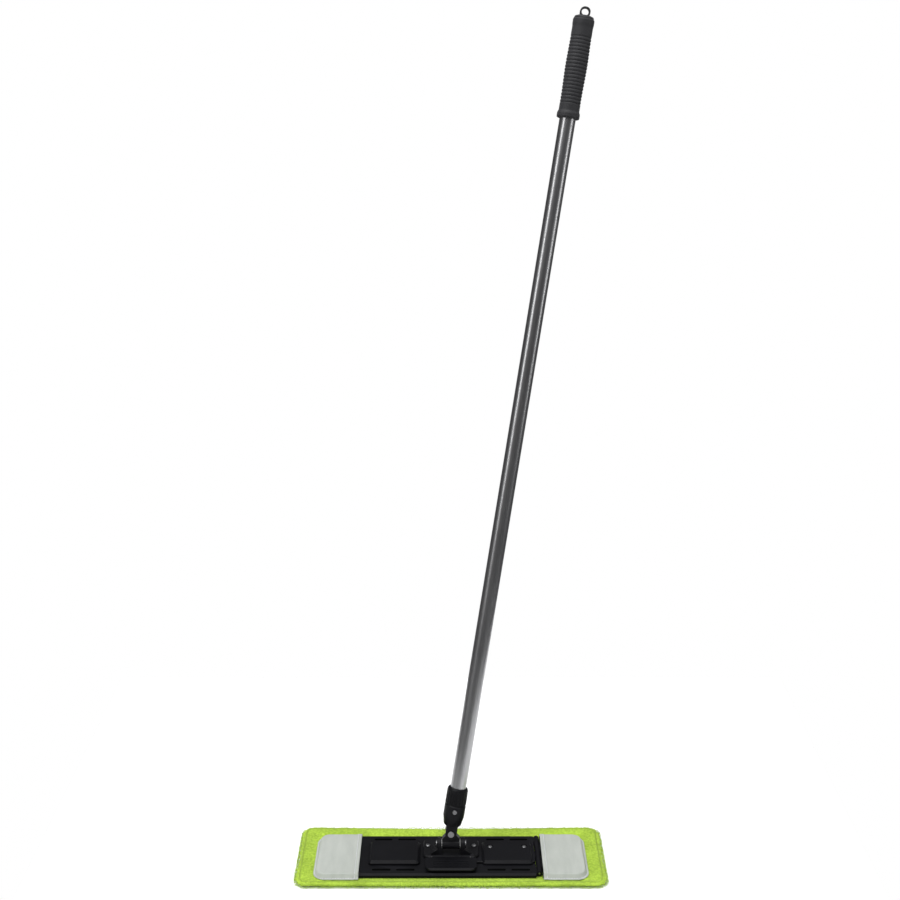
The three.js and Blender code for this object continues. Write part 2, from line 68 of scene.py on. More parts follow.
def make_camera():
    data = bpy.data.cameras.new("camera")
    data.sensor_width = 36
    data.lens = CAMERA_LENS
    data.clip_end = 100
    camera = bpy.data.objects.new("camera", data)
    camera.location = CAMERA_PLACE
    camera.rotation_euler = (math.radians(90 - CAMERA_TILT_DOWN), 0, 0)
    bpy.context.scene.collection.objects.link(camera)
    bpy.context.scene.camera = camera


def add_light(name, kind, place, target, power):
    data = bpy.data.lights.new(name, kind)
    data.energy = power
    light = bpy.data.objects.new(name, data)
    light.location = place
    aim = Vector(target) - Vector(place)
    light.rotation_euler = aim.to_track_quat("-Z", "Y").to_euler()
    bpy.context.scene.collection.objects.link(light)
    return data


def add_softbox(name, place, target, size, power):
    data = add_light(name, "AREA", place, target, power)
    data.shape = "RECTANGLE"
    data.size, data.size_y = size


SKY_AT_HORIZON = 0.10
SKY_OVERHEAD = 0.95
FLOOR_HALF_WIDTH = 0.6


def make_studio():
    """White surroundings for the camera. The light itself comes from above, and the lighting grows
    dim towards the horizon round the mop, which gives its metal and its black plastic something
    dark to reflect."""
    scene = bpy.context.scene
    scene.view_settings.view_transform = "Standard"
    world = bpy.data.worlds.new("studio")
    world.use_nodes = True
    scene.world = world
    tree = world.node_tree
    seen = tree.nodes["Background"]
    seen.inputs["Color"].default_value = (1, 1, 1, 1)
    seen.inputs["Strength"].default_value = 1.0
    lighting = tree.nodes.new("ShaderNodeBackground")
    lighting.inputs["Color"].default_value = (0.97, 0.98, 1, 1)
    where = tree.nodes.new("ShaderNodeTexCoord")
    split = tree.nodes.new("ShaderNodeSeparateXYZ")
    tree.links.new(where.outputs["Generated"], split.inputs["Vector"])
    rise = tree.nodes.new("ShaderNodeMapRange")
    rise.interpolation_type = "SMOOTHSTEP"
    rise.inputs["From Min"].default_value = 0.4
    rise.inputs["From Max"].default_value = 0.95
    rise.inputs["To Min"].default_value = SKY_AT_HORIZON
    rise.inputs["To Max"].default_value = SKY_OVERHEAD
    tree.links.new(split.outputs["Z"], rise.inputs["Value"])
    tree.links.new(rise.outputs["Result"], lighting.inputs["Strength"])
    path = tree.nodes.new("ShaderNodeLightPath")
    mix = tree.nodes.new("ShaderNodeMixShader")
    tree.links.new(path.outputs["Is Camera Ray"], mix.inputs["Fac"])
    tree.links.new(lighting.outputs["Background"], mix.inputs[1])
    tree.links.new(seen.outputs["Background"], mix.inputs[2])
    tree.links.new(mix.outputs["Shader"], tree.nodes["World Output"].inputs["Surface"])

    middle = (0, 0, 0.4)
    ceiling = add_light("ceiling_light", "SUN", (-1.0, -1.2, 4.0), middle, 2.3)
    ceiling.angle = math.radians(60)
    add_softbox("left_softbox", (-1.7, -1.1, 1.5), middle, (0.5, 1.8), 12)
    add_softbox("right_softbox", (1.9, -0.5, 1.2), middle, (0.4, 1.8), 8)
    add_softbox("back_softbox", (0.6, 1.2, 2.2), middle, (1.6, 0.5), 3)


def make_floor():
    half = FLOOR_HALF_WIDTH
    corners = [(-half, -half, 0), (half, -half, 0), (half, half, 0), (-half, half, 0)]
    floor = bpy.data.objects.new("floor", mesh_from("floor", corners, [(0, 1, 2, 3)]))
    floor.location.z = -0.3 * MM
    bpy.context.scene.collection.objects.link(floor)
    look, shader, _ = new_material("floor_white", (0.92, 0.92, 0.92), 0.5)
    shader.inputs["Specular IOR Level"].default_value = 0.0
    floor.data.materials.append(look)


# ---------------------------------------------------------------- material building
def new_material(name, colour, roughness, metallic=0.0):
    look = bpy.data.materials.new(name)
    look.use_nodes = True
    tree = look.node_tree
    shader = tree.nodes["Principled BSDF"]
    shader.inputs["Base Color"].default_value = (*colour, 1)
    shader.inputs["Roughness"].default_value = roughness
    shader.inputs["Metallic"].default_value = metallic
    return look, shader, tree


def texture(tree, kind, scale, stretch=(1, 1, 1), **settings):
    """A procedural texture in the piece's own coordinates; scale is in features a metre."""
    where = tree.nodes.new("ShaderNodeTexCoord")
    mapping = tree.nodes.new("ShaderNodeMapping")
    mapping.inputs["Scale"].default_value = stretch
    made = tree.nodes.new("ShaderNodeTex" + kind)
    made.inputs["Scale"].default_value = scale
    for key, value in settings.items():
        socket = key.title()
        if socket in made.inputs:
            made.inputs[socket].default_value = value
        else:
            setattr(made, key, value)
    tree.links.new(where.outputs["Object"], mapping.inputs["Vector"])
    tree.links.new(mapping.outputs["Vector"], made.inputs["Vector"])
    return made


def ramp(tree, source, low, dark, high, light):
    """A colour that goes from dark, where the source is low, to light, where it is high."""
    made = tree.nodes.new("ShaderNodeValToRGB")
    first, last = made.color_ramp.elements
    first.position, last.position = low, high
    first.color, last.color = (*dark, 1), (*light, 1)
    tree.links.new(source, made.inputs["Fac"])
    return made.outputs["Color"]


def value_range(tree, source, low, high):
    made = tree.nodes.new("ShaderNodeMapRange")
    made.inputs["To Min"].default_value = low
    made.inputs["To Max"].default_value = high
    tree.links.new(source, made.inputs["Value"])
    return made.outputs["Result"]


def mix_colours(tree, share, first, second, mode="MIX"):
    made = tree.nodes.new("ShaderNodeMix")
    made.data_type = "RGBA"
    made.blend_type = mode
    for socket, value in ((0, share), (6, first), (7, second)):
        if isinstance(value, bpy.types.NodeSocket):
            tree.links.new(value, made.inputs[socket])
        else:
            made.inputs[socket].default_value = value if socket == 0 else (*value, 1)
    return made.outputs[2]


def add_bump(tree, shader, height, strength, distance):
    """Adds a bump on top of the bumps that the shader already has."""
    made = tree.nodes.new("ShaderNodeBump")
    made.inputs["Strength"].default_value = strength
    made.inputs["Distance"].default_value = distance
    tree.links.new(height, made.inputs["Height"])
    before = shader.inputs["Normal"].links
    if before:
        tree.links.new(before[0].from_socket, made.inputs["Normal"])
    tree.links.new(made.outputs["Normal"], shader.inputs["Normal"])


def scaled(colour, factor):
    return tuple(min(1.0, c * factor) for c in colour)


WHITE = (1, 1, 1)
BLACK = (0, 0, 0)


def moulded_plastic(name, colour, roughness, grain=1400, shine=0.35):
    """Injection-moulded plastic: fine spark-eroded grain, faint mottling and paler rubbed edges."""
    look, shader, tree = new_material(name, colour, roughness)
    shader.inputs["Specular IOR Level"].default_value = shine
    mottling = texture(tree, "Noise", 26, detail=4)
    base = ramp(tree, mottling.outputs["Fac"], 0.3, scaled(colour, 0.8), 0.7, scaled(colour, 1.25))
    geometry = tree.nodes.new("ShaderNodeNewGeometry")
    edge = ramp(tree, geometry.outputs["Pointiness"], 0.52, BLACK, 0.6, WHITE)
    worn = mix_colours(tree, 0.5, base, scaled(colour, 2.4))
    tree.links.new(mix_colours(tree, edge, base, worn), shader.inputs["Base Color"])
    smears = texture(tree, "Noise", 60, detail=5)
    rough = value_range(tree, smears.outputs["Fac"], roughness - 0.1, roughness + 0.12)
    tree.links.new(rough, shader.inputs["Roughness"])
    spark = texture(tree, "Noise", grain, detail=3)
    add_bump(tree, shader, spark.outputs["Fac"], 0.35, 0.12 * MM)
    return look


def soft_rubber(name, colour):
    """Soft-touch grip: matt, with a stippled surface and a little sheen."""
    look, shader, tree = new_material(name, colour, 0.62)
    shader.inputs["Specular IOR Level"].default_value = 0.35
    shader.inputs["Sheen Weight"].default_value = 0.1
    shader.inputs["Sheen Roughness"].default_value = 0.5
    patches = texture(tree, "Noise", 45, detail=5)
    tone = ramp(tree, patches.outputs["Fac"], 0.3, scaled(colour, 0.85), 0.7, scaled(colour, 1.2))
    tree.links.new(tone, shader.inputs["Base Color"])
    rough = value_range(tree, patches.outputs["Fac"], 0.5, 0.74)
    tree.links.new(rough, shader.inputs["Roughness"])
    stipple = texture(tree, "Voronoi", 900)
    add_bump(tree, shader, stipple.outputs["Distance"], 0.3, 0.15 * MM)
    return look


def drawn_tube_metal(name, colour):
    """Drawn and anodised tube: long fine streaks along its own Z axis, and faint smears."""
    look, shader, tree = new_material(name, colour, 0.3, metallic=1.0)
    streaks = texture(tree, "Noise", 1500, stretch=(1, 1, 0.012), detail=3)
    smears = texture(tree, "Noise", 40, stretch=(1, 1, 0.25), detail=5)
    dull, bright = scaled(colour, 0.93), scaled(colour, 1.06)
    tint = ramp(tree, streaks.outputs["Fac"], 0.35, dull, 0.65, bright)
    patch = ramp(tree, smears.outputs["Fac"], 0.35, (0.93, 0.93, 0.935), 0.7, WHITE)
    tree.links.new(mix_colours(tree, 1.0, tint, patch, "MULTIPLY"), shader.inputs["Base Color"])
    rough = value_range(tree, smears.outputs["Fac"], 0.27, 0.36)
    tree.links.new(rough, shader.inputs["Roughness"])
    add_bump(tree, shader, streaks.outputs["Fac"], 0.08, 0.05 * MM)
    return look


def darkened_steel(name):
    """Blackened steel of the screws, pins and springs, with fine turning marks."""
    look, shader, tree = new_material(name, (0.2, 0.2, 0.205), 0.3, metallic=1.0)
    marks = texture(tree, "Noise", 300, detail=5)
    rough = value_range(tree, marks.outputs["Fac"], 0.18, 0.42)
    tree.links.new(rough, shader.inputs["Roughness"])
    add_bump(tree, shader, marks.outputs["Fac"], 0.1, 0.05 * MM)
    return look


def microfibre(name, colour, loops_a_metre):
    """Dyed microfibre: uneven dye, tiny loops drawn as painted shade in the hollows between them,
    and a soft sheen.
    """
    look, shader, tree = new_material(name, colour, 0.9)
    shader.inputs["Specular IOR Level"].default_value = 0.2
    shader.inputs["Sheen Weight"].default_value = 0.2
    shader.inputs["Sheen Roughness"].default_value = 0.45
    shader.inputs["Sheen Tint"].default_value = (0.85, 1.0, 0.6, 1)
    dye = texture(tree, "Noise", 38, detail=6)
    fibres = texture(tree, "Noise", loops_a_metre * 2.4, detail=3)
    loops = texture(tree, "Voronoi", loops_a_metre)
    dyed = ramp(tree, dye.outputs["Fac"], 0.3, scaled(colour, 0.82), 0.72, scaled(colour, 1.12))
    strands = ramp(tree, fibres.outputs["Fac"], 0.3, (0.72, 0.75, 0.68), 0.66, WHITE)
    # Painted shade: the colour darkens in the hollows between the loops, away from each loop's
    # centre.
    loop_gap_shade = ramp(tree, loops.outputs["Distance"], 0.25, WHITE, 0.75, (0.7, 0.74, 0.62))
    shaded = mix_colours(tree, 1.0, dyed, strands, "MULTIPLY")
    tree.links.new(mix_colours(tree, 1.0, shaded, loop_gap_shade, "MULTIPLY"), shader.inputs["Base Color"])
    add_bump(tree, shader, fibres.outputs["Fac"], 0.5, 0.4 * MM)
    return look


def woven_cloth(name, colour, threads):
    """Plain-woven cloth: two crossing sets of threads, slubs and a faint sheen."""
    look, shader, tree = new_material(name, colour, 0.85)
    shader.inputs["Specular IOR Level"].default_value = 0.25
    shader.inputs["Sheen Weight"].default_value = 0.15
    shader.inputs["Sheen Roughness"].default_value = 0.5
    warp = texture(tree, "Wave", threads, bands_direction="X", distortion=1.2, detail=2.0)
    weft = texture(tree, "Wave", threads, bands_direction="Y", distortion=1.2, detail=2.0)
    weave = mix_colours(tree, 0.5, warp.outputs["Color"], weft.outputs["Color"])
    slubs = texture(tree, "Noise", 90, stretch=(1, 0.25, 1), detail=5)
    toned = ramp(tree, slubs.outputs["Fac"], 0.3, scaled(colour, 0.9), 0.7, scaled(colour, 1.05))
    shade = ramp(tree, weave, 0.15, (0.78, 0.78, 0.8), 0.75, WHITE)
    tree.links.new(mix_colours(tree, 1.0, toned, shade, "MULTIPLY"), shader.inputs["Base Color"])
    add_bump(tree, shader, weave, 0.5, 0.35 * MM)
    add_bump(tree, shader, slubs.outputs["Fac"], 0.15, 0.6 * MM)
    return look


LIME = (0.45, 0.63, 0.070)
LOOKS = {
    "plate": moulded_plastic("black_moulded_plastic", (0.004, 0.004, 0.005), 0.42, shine=0.1),
    "joint": moulded_plastic("dark_joint_plastic", (0.006, 0.006, 0.007), 0.42, shine=0.1),
    "grip": soft_rubber("soft_grip_rubber", (0.029, 0.029, 0.032)),
    "tube": drawn_tube_metal("drawn_tube_metal", (0.42, 0.42, 0.425)),
    "steel": darkened_steel("darkened_steel"),
    "washer": moulded_plastic("pale_washer_plastic", (0.55, 0.55, 0.53), 0.35),
    "pad": microfibre("lime_microfibre", LIME, 330),
    "pile": microfibre("lime_pile", scaled(LIME, 1.05), 900),
    "seam": woven_cloth("lime_thread", scaled(LIME, 0.75), 2500),
    "pocket": woven_cloth("pale_pocket_cloth", (0.465, 0.49, 0.445), 480),
    "thread": woven_cloth("pale_thread", (0.70, 0.71, 0.74), 2500),
}


# ---------------------------------------------------------------- mesh building
def mesh_from(name, vertices, faces):
    mesh = bpy.data.meshes.new(name)
    mesh.from_pydata([tuple(v) for v in vertices], [], faces)
    mesh.update()
    mesh.shade_smooth()
    return mesh


def add_piece(name, mesh, look, place=None):
    """A piece of our own, still without a body; place is a matrix in the row frame."""
    piece = bpy.data.objects.new(name, mesh)
    bpy.context.scene.collection.objects.link(piece)
    if place:
        piece.matrix_world = place
    mesh.materials.clear()
    mesh.materials.append(LOOKS[look])
    return piece


def applied(piece):
    """The piece's mesh with its modifiers applied, which the piece then keeps."""
    graph = bpy.context.evaluated_depsgraph_get()
    mesh = bpy.data.meshes.new_from_object(piece.evaluated_get(graph))
    piece.modifiers.clear()
    piece.data = mesh
    return mesh


def smoothstep(low, high, value):
    t = min(1.0, max(0.0, (value - low) / (high - low)))
    return t * t * (3 - 2 * t)


def blended(first, second, share):
    return first + (second - first) * share


def outside_rectangle(x, y, half_x, half_y, corner):
    """Distance outside a rounded rectangle about the origin; negative inside it."""
    dx = abs(x) - half_x + corner
    dy = abs(y) - half_y + corner
    return math.hypot(max(dx, 0), max(dy, 0)) + min(max(dx, dy), 0) - corner


def walk_rectangle(half_x, half_y, corner, spacing):
    """Points at even spacing round a rounded rectangle, each with its outward direction."""
    straight_x, straight_y = 2 * (half_x - corner), 2 * (half_y - corner)
    arc = corner * math.pi / 2
    runs = [
        ((half_x, -half_y + corner), 0, straight_y),
        ((-half_x + corner + straight_x, half_y), 90, straight_x),
        ((-half_x, half_y - corner), 180, straight_y),
        ((-half_x + corner, -half_y), 270, straight_x),
    ]
    whole = 2 * (straight_x + straight_y) + 4 * arc
    count = round(whole / spacing)
    found = []
    for i in range(count):
        at = whole * i / count
        for (x, y), facing, straight in runs:
            out = Vector((math.cos(math.radians(facing)), math.sin(math.radians(facing))))
            ahead = Vector((-out.y, out.x))
            if at < straight:
                found.append((Vector((x, y)) + ahead * at, out))
                break
            at -= straight
            if at < arc:
                turn = at / corner
                centre = Vector((x, y)) + ahead * straight - out * corner
                bent = out * math.cos(turn) + ahead * math.sin(turn)
                found.append((centre + bent * corner, bent))
                break
            at -= arc
    return found


class Threads:
    """Collects many thin round strands into one mesh."""

    def __init__(self, sides=5):
        self.sides = sides
        self.vertices, self.faces = [], []

    def add(self, points, radius, closed=False, upright=(0.13, 0.21, 0.97)):
        """Adds a strand through these points. No part of it may run along upright."""
        points = [Vector(p) for p in points]
        first = len(self.vertices)
        count = len(points)
        for i, point in enumerate(points):
            before = points[i - 1] if i or closed else point
            after = points[(i + 1) % count] if i < count - 1 or closed else point
            ahead = (after - before).normalized()
            side = ahead.cross(Vector(upright)).normalized()
            up = side.cross(ahead)
            for k in range(self.sides):
                turn = 2 * math.pi * k / self.sides
                self.vertices.append(point + (side * math.cos(turn) + up * math.sin(turn)) * radius)
        for i in range(count if closed else count - 1):
            a, b = first + i * self.sides, first + (i + 1) % count * self.sides
            for k in range(self.sides):
                n = (k + 1) % self.sides
                self.faces.append((a + k, b + k, b + n, a + n))
        if not closed:
            last = first + (count - 1) * self.sides
            self.faces.append(tuple(first + k for k in range(self.sides)))
            self.faces.append(tuple(last + k for k in reversed(range(self.sides))))

    def mesh(self, name):
        return mesh_from(name, self.vertices, self.faces)


def turned_mesh(name, profile, sides=96, extra=None):
    """A solid of revolution about Z through (radius, height) pairs.

    extra(angle, height) gives a radius to add, as for ridges. The surface also joins the last
    pair to the first one, unless both are points on the axis."""
    vertices, faces, rings = [], [], []
    for radius, height in profile:
        if radius < 1e-9:
            rings.append([len(vertices)])
            vertices.append((0, 0, height))
            continue
        rings.append(range(len(vertices), len(vertices) + sides))
        for i in range(sides):
            angle = 2 * math.pi * i / sides
            r = radius + (extra(angle, height) if extra else 0)
            vertices.append((r * math.cos(angle), r * math.sin(angle), height))
    pairs = list(zip(rings, rings[1:]))
    if len(rings[0]) > 1 or len(rings[-1]) > 1:
        pairs.append((rings[-1], rings[0]))
    for low, high in pairs:
        for i in range(sides):
            j = (i + 1) % sides
            below = [low[k % len(low)] for k in (i, j)]
            above = [high[k % len(high)] for k in (j, i)]
            face = tuple(dict.fromkeys(below + above))
            if len(face) > 2:
                faces.append(face)
    return mesh_from(name, vertices, faces)


def rounded_profile(points, radius, steps=4):
    """The same outline with each corner rounded, and the first and last points kept."""
    made = [points[0]]
    for before, corner, after in zip(points, points[1:], points[2:]):
        before, corner, after = Vector(before), Vector(corner), Vector(after)
        to_before, to_after = before - corner, after - corner
        reach = min(radius, to_before.length / 2.2, to_after.length / 2.2)
        start = corner + to_before.normalized() * reach
        end = corner + to_after.normalized() * reach
        for k in range(steps + 1):
            t = k / steps
            made.append(tuple(start.lerp(corner, t).lerp(corner.lerp(end, t), t)))
    made.append(points[-1])
    return made


# ---------------------------------------------------------------- CAD nodes that keep their shape
def refine_node(node, look, width):
    """A CAD node keeps its shape and gets its material, welded corners and softened edges."""
    piece = nodes[node]
    mesh = piece.data
    mesh.materials.clear()
    mesh.materials.append(LOOKS[look])
    if "custom_normal" in mesh.attributes:
        mesh.attributes.remove(mesh.attributes["custom_normal"])
    mesh.shade_smooth()
    weld = piece.modifiers.new("weld", "WELD")
    weld.merge_threshold = 0.002 * MM
    flat = piece.modifiers.new("flat_faces", "DECIMATE")
    flat.decimate_type = "DISSOLVE"
    flat.angle_limit = math.radians(0.5)
    bevel = piece.modifiers.new("soft_edges", "BEVEL")
    bevel.width = width
    bevel.segments = 2
    bevel.limit_method = "ANGLE"
    bevel.angle_limit = math.radians(32)
    bevel.harden_normals = True


def refine_moulded_parts():
    for name in ("base_plate", "end_flap", "latch_cover", "release_pedal"):
        refine_node(name, "plate", 0.6 * MM)
    for name in ("hub", "swivel_block", "latch_rod", "tube_plug", "socket"):
        refine_node(name, "joint", 0.6 * MM)
    refine_node("hanger_cap", "grip", 0.7 * MM)
    for name in nodes:
        if "washer" in name:
            refine_node(name, "washer", 0.15 * MM)
        if "screw" in name or "pin" in name:
            refine_node(name, "steel", 0.3 * MM)


# ---------------------------------------------------------------- handle
side_joint = next(j for j in frame["joints"] if j["name"] == "handle_side")
pivot = Vector(side_joint["pos_m"])
across = Vector(side_joint["axis"]).normalized()
tube_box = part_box("tube")
along = ((Vector(tube_box[0]) + Vector(tube_box[1])) / 2 - pivot).normalized()
right = across.cross(along)
HANDLE = Matrix.Translation(pivot) @ Matrix((right, across, along)).transposed().to_4x4()


def reach(node):
    """A node's greatest radius and its lowest and highest station along the handle."""
    back = HANDLE.inverted()
    points = [back @ v.co for v in nodes[node].data.vertices]
    radius = max(math.hypot(p.x, p.y) for p in points)
    return radius, min(p.z for p in points), max(p.z for p in points)


TUBE_CLEARANCE = 0.3 * MM


def make_tube():
    """The tube, a thin wall all the way through, with sloped ends."""
    radius, start, end = reach("tube")
    wall = 1.0 * MM
    edge = 0.4 * MM
    profile = [
        (radius - wall, start), (radius, start + edge), (radius, end - edge),
        (radius - wall, end),
    ]
    tube = add_piece("metal_tube", turned_mesh("metal_tube", profile), "tube", HANDLE)
    tube.data.set_sharp_from_angle(angle=math.radians(40))
    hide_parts("tube")
    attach(tube, "handle")


def make_collar():
    """The threaded collar that clamps the tube, with finger flutes round it."""
    radius, start, end = reach("socket_collar")
    bore = reach("tube")[0] + TUBE_CLEARANCE
    thread_bore = 13.2 * MM
    least_fluted_radius = 13.8 * MM
    flutes = 22
    flute_depth = 0.7 * MM

    def flute(angle, height):
        inside = smoothstep(start + 2.2 * MM, start + 4 * MM, height)
        inside *= 1 - smoothstep(end - 5.5 * MM, end - 3.5 * MM, height)
        return -flute_depth * inside * (0.5 - 0.5 * math.cos(flutes * angle)) ** 2

    outer = rounded_profile(
        [
            (thread_bore, start + 0.1 * MM), (radius - 0.5 * MM, start + 0.1 * MM),
            (radius, start + 1.2 * MM), (radius - 0.3 * MM, end - 3 * MM),
            (radius - 1.6 * MM, end), (bore, end),
        ],
        1.0 * MM,
    )
    ring_spacing = 1.2 * MM
    fine = []
    for (r, z), (next_r, next_z) in zip(outer, outer[1:]):
        steps = max(1, round(abs(next_z - z) / ring_spacing))
        for k in range(steps):
            fine.append((blended(r, next_r, k / steps), blended(z, next_z, k / steps)))
    lip = 1.7 * MM
    fine += [(bore, end), (bore, end - lip), (thread_bore, end - lip)]

    mesh = turned_mesh("fluted_collar", fine, 132)
    for vertex in mesh.vertices:
        r = math.hypot(vertex.co.x, vertex.co.y)
        if r > least_fluted_radius:
            angle = math.atan2(vertex.co.y, vertex.co.x)
            vertex.co.xy *= (r + flute(angle, vertex.co.z)) / r
    mesh.set_sharp_from_angle(angle=math.radians(45))
    collar = add_piece("fluted_collar", mesh, "joint", HANDLE)
    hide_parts("socket_collar")
    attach(collar, "handle")


def make_grip():
    """A soft grip with a rounded lip, a swelling palm and rings that fade out at the back."""
    radius, start, end = reach("grip")
    bore = reach("tube")[0] + TUBE_CLEARANCE
    length = end - start
    palm_radius, palm_swell = 14.0 * MM, 0.9 * MM
    ring_pitch, ring_depth = 4.6 * MM, 0.75 * MM
    ring_start, ring_end = start + 20 * MM, end - 22 * MM

    def body_radius(height):
        t = (height - start) / length
        palm = palm_radius + palm_swell * math.sin(math.pi * smoothstep(0.05, 1.0, t)) ** 2
        lip = (radius - palm) * (1 - smoothstep(6 * MM, 11 * MM, height - start))
        shoulder = 0.5 * MM * smoothstep(end - 12 * MM, end - 6 * MM, height)
        return palm + lip + shoulder

    def ring(angle, height):
        if not ring_start < height < ring_end:
            return 0
        fade = smoothstep(0.35, 0.75, abs(math.remainder(angle - math.pi / 2, 2 * math.pi)))
        wave = math.sin(math.pi * (height - ring_start) / ring_pitch) ** 2
        return -ring_depth * fade * (1 - wave) ** 3

    steps = 190
    rounding = 1.6 * MM
    stations = [start + length * k / steps for k in range(steps + 1)]
    side = [(body_radius(z), z) for z in stations if start + rounding < z < end - rounding]
    low_end = [(bore, start), (radius - 1.8 * MM, start), (radius - 0.5 * MM, start + 0.6 * MM)]
    top = side[-1][0]
    high_end = [(top - 0.5 * MM, end - 0.6 * MM), (top - 1.8 * MM, end), (bore, end)]
    profile = low_end + side + high_end
    mesh = turned_mesh("ribbed_grip", profile, 96, ring)
    mesh.set_sharp_from_angle(angle=math.radians(50))
    grip = add_piece("ribbed_grip", mesh, "grip", HANDLE)
    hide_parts("grip")
    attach(grip, "handle")


# ---------------------------------------------------------------- pad
pad_low, pad_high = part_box("pad_main")
PAD_HALF_X = -pad_low[0]
PAD_HALF_Y = (pad_high[1] - pad_low[1]) / 2
PAD_MIDDLE = Vector((0, (pad_high[1] + pad_low[1]) / 2))
PAD_CORNER = 16 * MM
PAD_TOP = pad_high[2]
plate_low, plate_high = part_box("base_plate")
PLATE_HALF_X = -plate_low[0]
PLATE_HALF_Y = plate_high[1]
PLATE_CORNER = 12 * MM
PLATE_THICKNESS = 6 * MM
PLATE_TOP = plate_low[2] + PLATE_THICKNESS
POCKET_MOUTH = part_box("pocket_right")[0][0]


def outside_plate(x, y):
    return outside_rectangle(x, y, PLATE_HALF_X, PLATE_HALF_Y, PLATE_CORNER)


def outside_pad(x, y):
    return outside_rectangle(x, y - PAD_MIDDLE.y, PAD_HALF_X, PAD_HALF_Y, PAD_CORNER)


def walk_pad(inset, corner, spacing):
    """Points round the pad, at a distance inside its edge."""
    walk = walk_rectangle(PAD_HALF_X - inset, PAD_HALF_Y - inset, corner, spacing)
    return [(point + PAD_MIDDLE, out) for point, out in walk]


def plain_slab(name, inset, low, high):
    """A flat slab of the pad's outline, a little smaller, between two heights."""
    outline = [p for p, _ in walk_pad(inset, PAD_CORNER, 4 * MM)]
    count = len(outline)
    vertices = [(p.x, p.y, z) for z in (low, high) for p in outline]
    faces = [tuple(reversed(range(count))), tuple(range(count, 2 * count))]
    for i in range(count):
        j = (i + 1) % count
        faces.append((i, j, count + j, count + i))
    return mesh_from(name, vertices, faces)


def inflate(piece, held, frames=20):
    """Swells a closed cloth by a short simulation; held names the vertices that don't move."""
    group = piece.vertex_groups.new(name="held")
    group.add(held, 1.0, "REPLACE")
    cloth = piece.modifiers.new("cloth", "CLOTH")
    settings = cloth.settings
    settings.quality = 6
    settings.use_pressure = True
    settings.uniform_pressure_force = 4
    settings.vertex_group_mass = "held"
    settings.effector_weights.gravity = 0
    scene = bpy.context.scene
    for number in range(1, frames + 1):
        scene.frame_set(number)
    mesh = applied(piece)
    scene.frame_set(1)
    return mesh


def pile_height(point):
    """Rounded nubs of looped pile, each a few millimetres across, with uneven tufts."""
    distances, _ = noise.voronoi(point / (4.4 * MM))
    nub = max(0.0, 1 - distances[0] ** 2 * 1.6)
    tuft = noise.noise(point / (11 * MM))
    return (0.95 * nub + 0.35 * tuft) * MM


def make_pad():
    """The pad swells round the plate, lies flat under it, and is covered with looped pile."""
    mesh = plain_slab("pad", 1.8 * MM, 0.8 * MM, PAD_TOP - 0.9 * MM)
    pad = add_piece("microfibre_pad", mesh, "pad")
    remesh = pad.modifiers.new("remesh", "REMESH")
    remesh.mode = "VOXEL"
    remesh.voxel_size = 3.2 * MM
    remesh.use_smooth_shade = True
    mesh = applied(pad)
    rest = [v.co.copy() for v in mesh.vertices]
    held_beside_plate, held_on_floor = 7 * MM, 18 * MM
    held = []
    for i, p in enumerate(rest):
        lies_on_floor = p.z < 2 * MM
        if outside_plate(p.x, p.y) < (held_on_floor if lies_on_floor else held_beside_plate):
            held.append(i)
    mesh = inflate(pad, held)
    most = 4 * MM
    for vertex, start in zip(mesh.vertices, rest):
        moved = vertex.co - start
        if moved.length > most:
            vertex.co = start + moved.normalized() * most
    finer = pad.modifiers.new("finer", "SUBSURF")
    finer.levels = 1
    finer.render_levels = 1
    mesh = applied(pad)
    mesh.shade_smooth()
    normals = [v.normal.copy() for v in mesh.vertices]
    for vertex, normal in zip(mesh.vertices, normals):
        point = vertex.co.copy()
        beside = outside_plate(point.x, point.y)
        open_air = smoothstep(0, 5 * MM, beside) if normal.z > -0.3 else 0.6
        vertex.co = point + normal * pile_height(point) * open_air
        away = smoothstep(6 * MM, 14 * MM, beside)
        ceiling = blended(PAD_TOP - 0.1 * MM, PAD_TOP + 2.2 * MM, away)
        vertex.co.z = min(max(vertex.co.z, 0.15 * MM), ceiling)
        stray = outside_pad(vertex.co.x, vertex.co.y)
        if stray > 0:
            vertex.co.xy -= Vector((normal.x, normal.y)) * stray
    mesh.materials.clear()
    mesh.materials.append(LOOKS["pad"])
    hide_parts("pad_main", "pad_end")
    return pad


def surface_of(piece):
    """A function that gives the height of a piece's top surface at x, y."""
    graph = bpy.context.evaluated_depsgraph_get()
    tree = BVHTree.FromObject(piece, graph)

    def height(x, y, missing=0.0):
        hit = tree.ray_cast(Vector((x, y, 1.0)), Vector((0, 0, -1)))[0]
        return hit.z if hit else missing

    return height


YARN_RADIUS = 0.42 * MM


def make_pile_loops():
    """Two uneven rows of yarn loops round the pad's side, and the odd one that stands out."""
    dice = random.Random(7)
    loops = Threads(sides=4)
    rows = ((2.0 * MM, 1.5 * MM, 3.4 * MM), (4.8 * MM, 1.9 * MM, 3.6 * MM))
    for height, inset, spacing in rows:
        for point, out in walk_pad(inset, PAD_CORNER, spacing):
            size = dice.uniform(1.6, 2.7) * MM
            turn = dice.uniform(-0.9, 0.9)
            lift = dice.uniform(-0.5, 0.35)
            outward = Vector((out.x, out.y, lift)).normalized()
            sideways = Vector((-out.y * math.cos(turn), out.x * math.cos(turn), math.sin(turn)))
            root = Vector((point.x, point.y, height + dice.uniform(-1, 1) * MM))
            arc = []
            for k in range(6):
                t = math.pi * k / 5
                arc.append(
                    root + outward * size * (1.25 * math.sin(t) - 0.35)
                    - sideways * size * 0.6 * math.cos(t)
                )
            for p in arc:
                p.z = max(p.z, 0.5 * MM)
            loops.add(arc, YARN_RADIUS)
    piece = add_piece("pile_loops", loops.mesh("pile_loops"), "pile")
    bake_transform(piece)


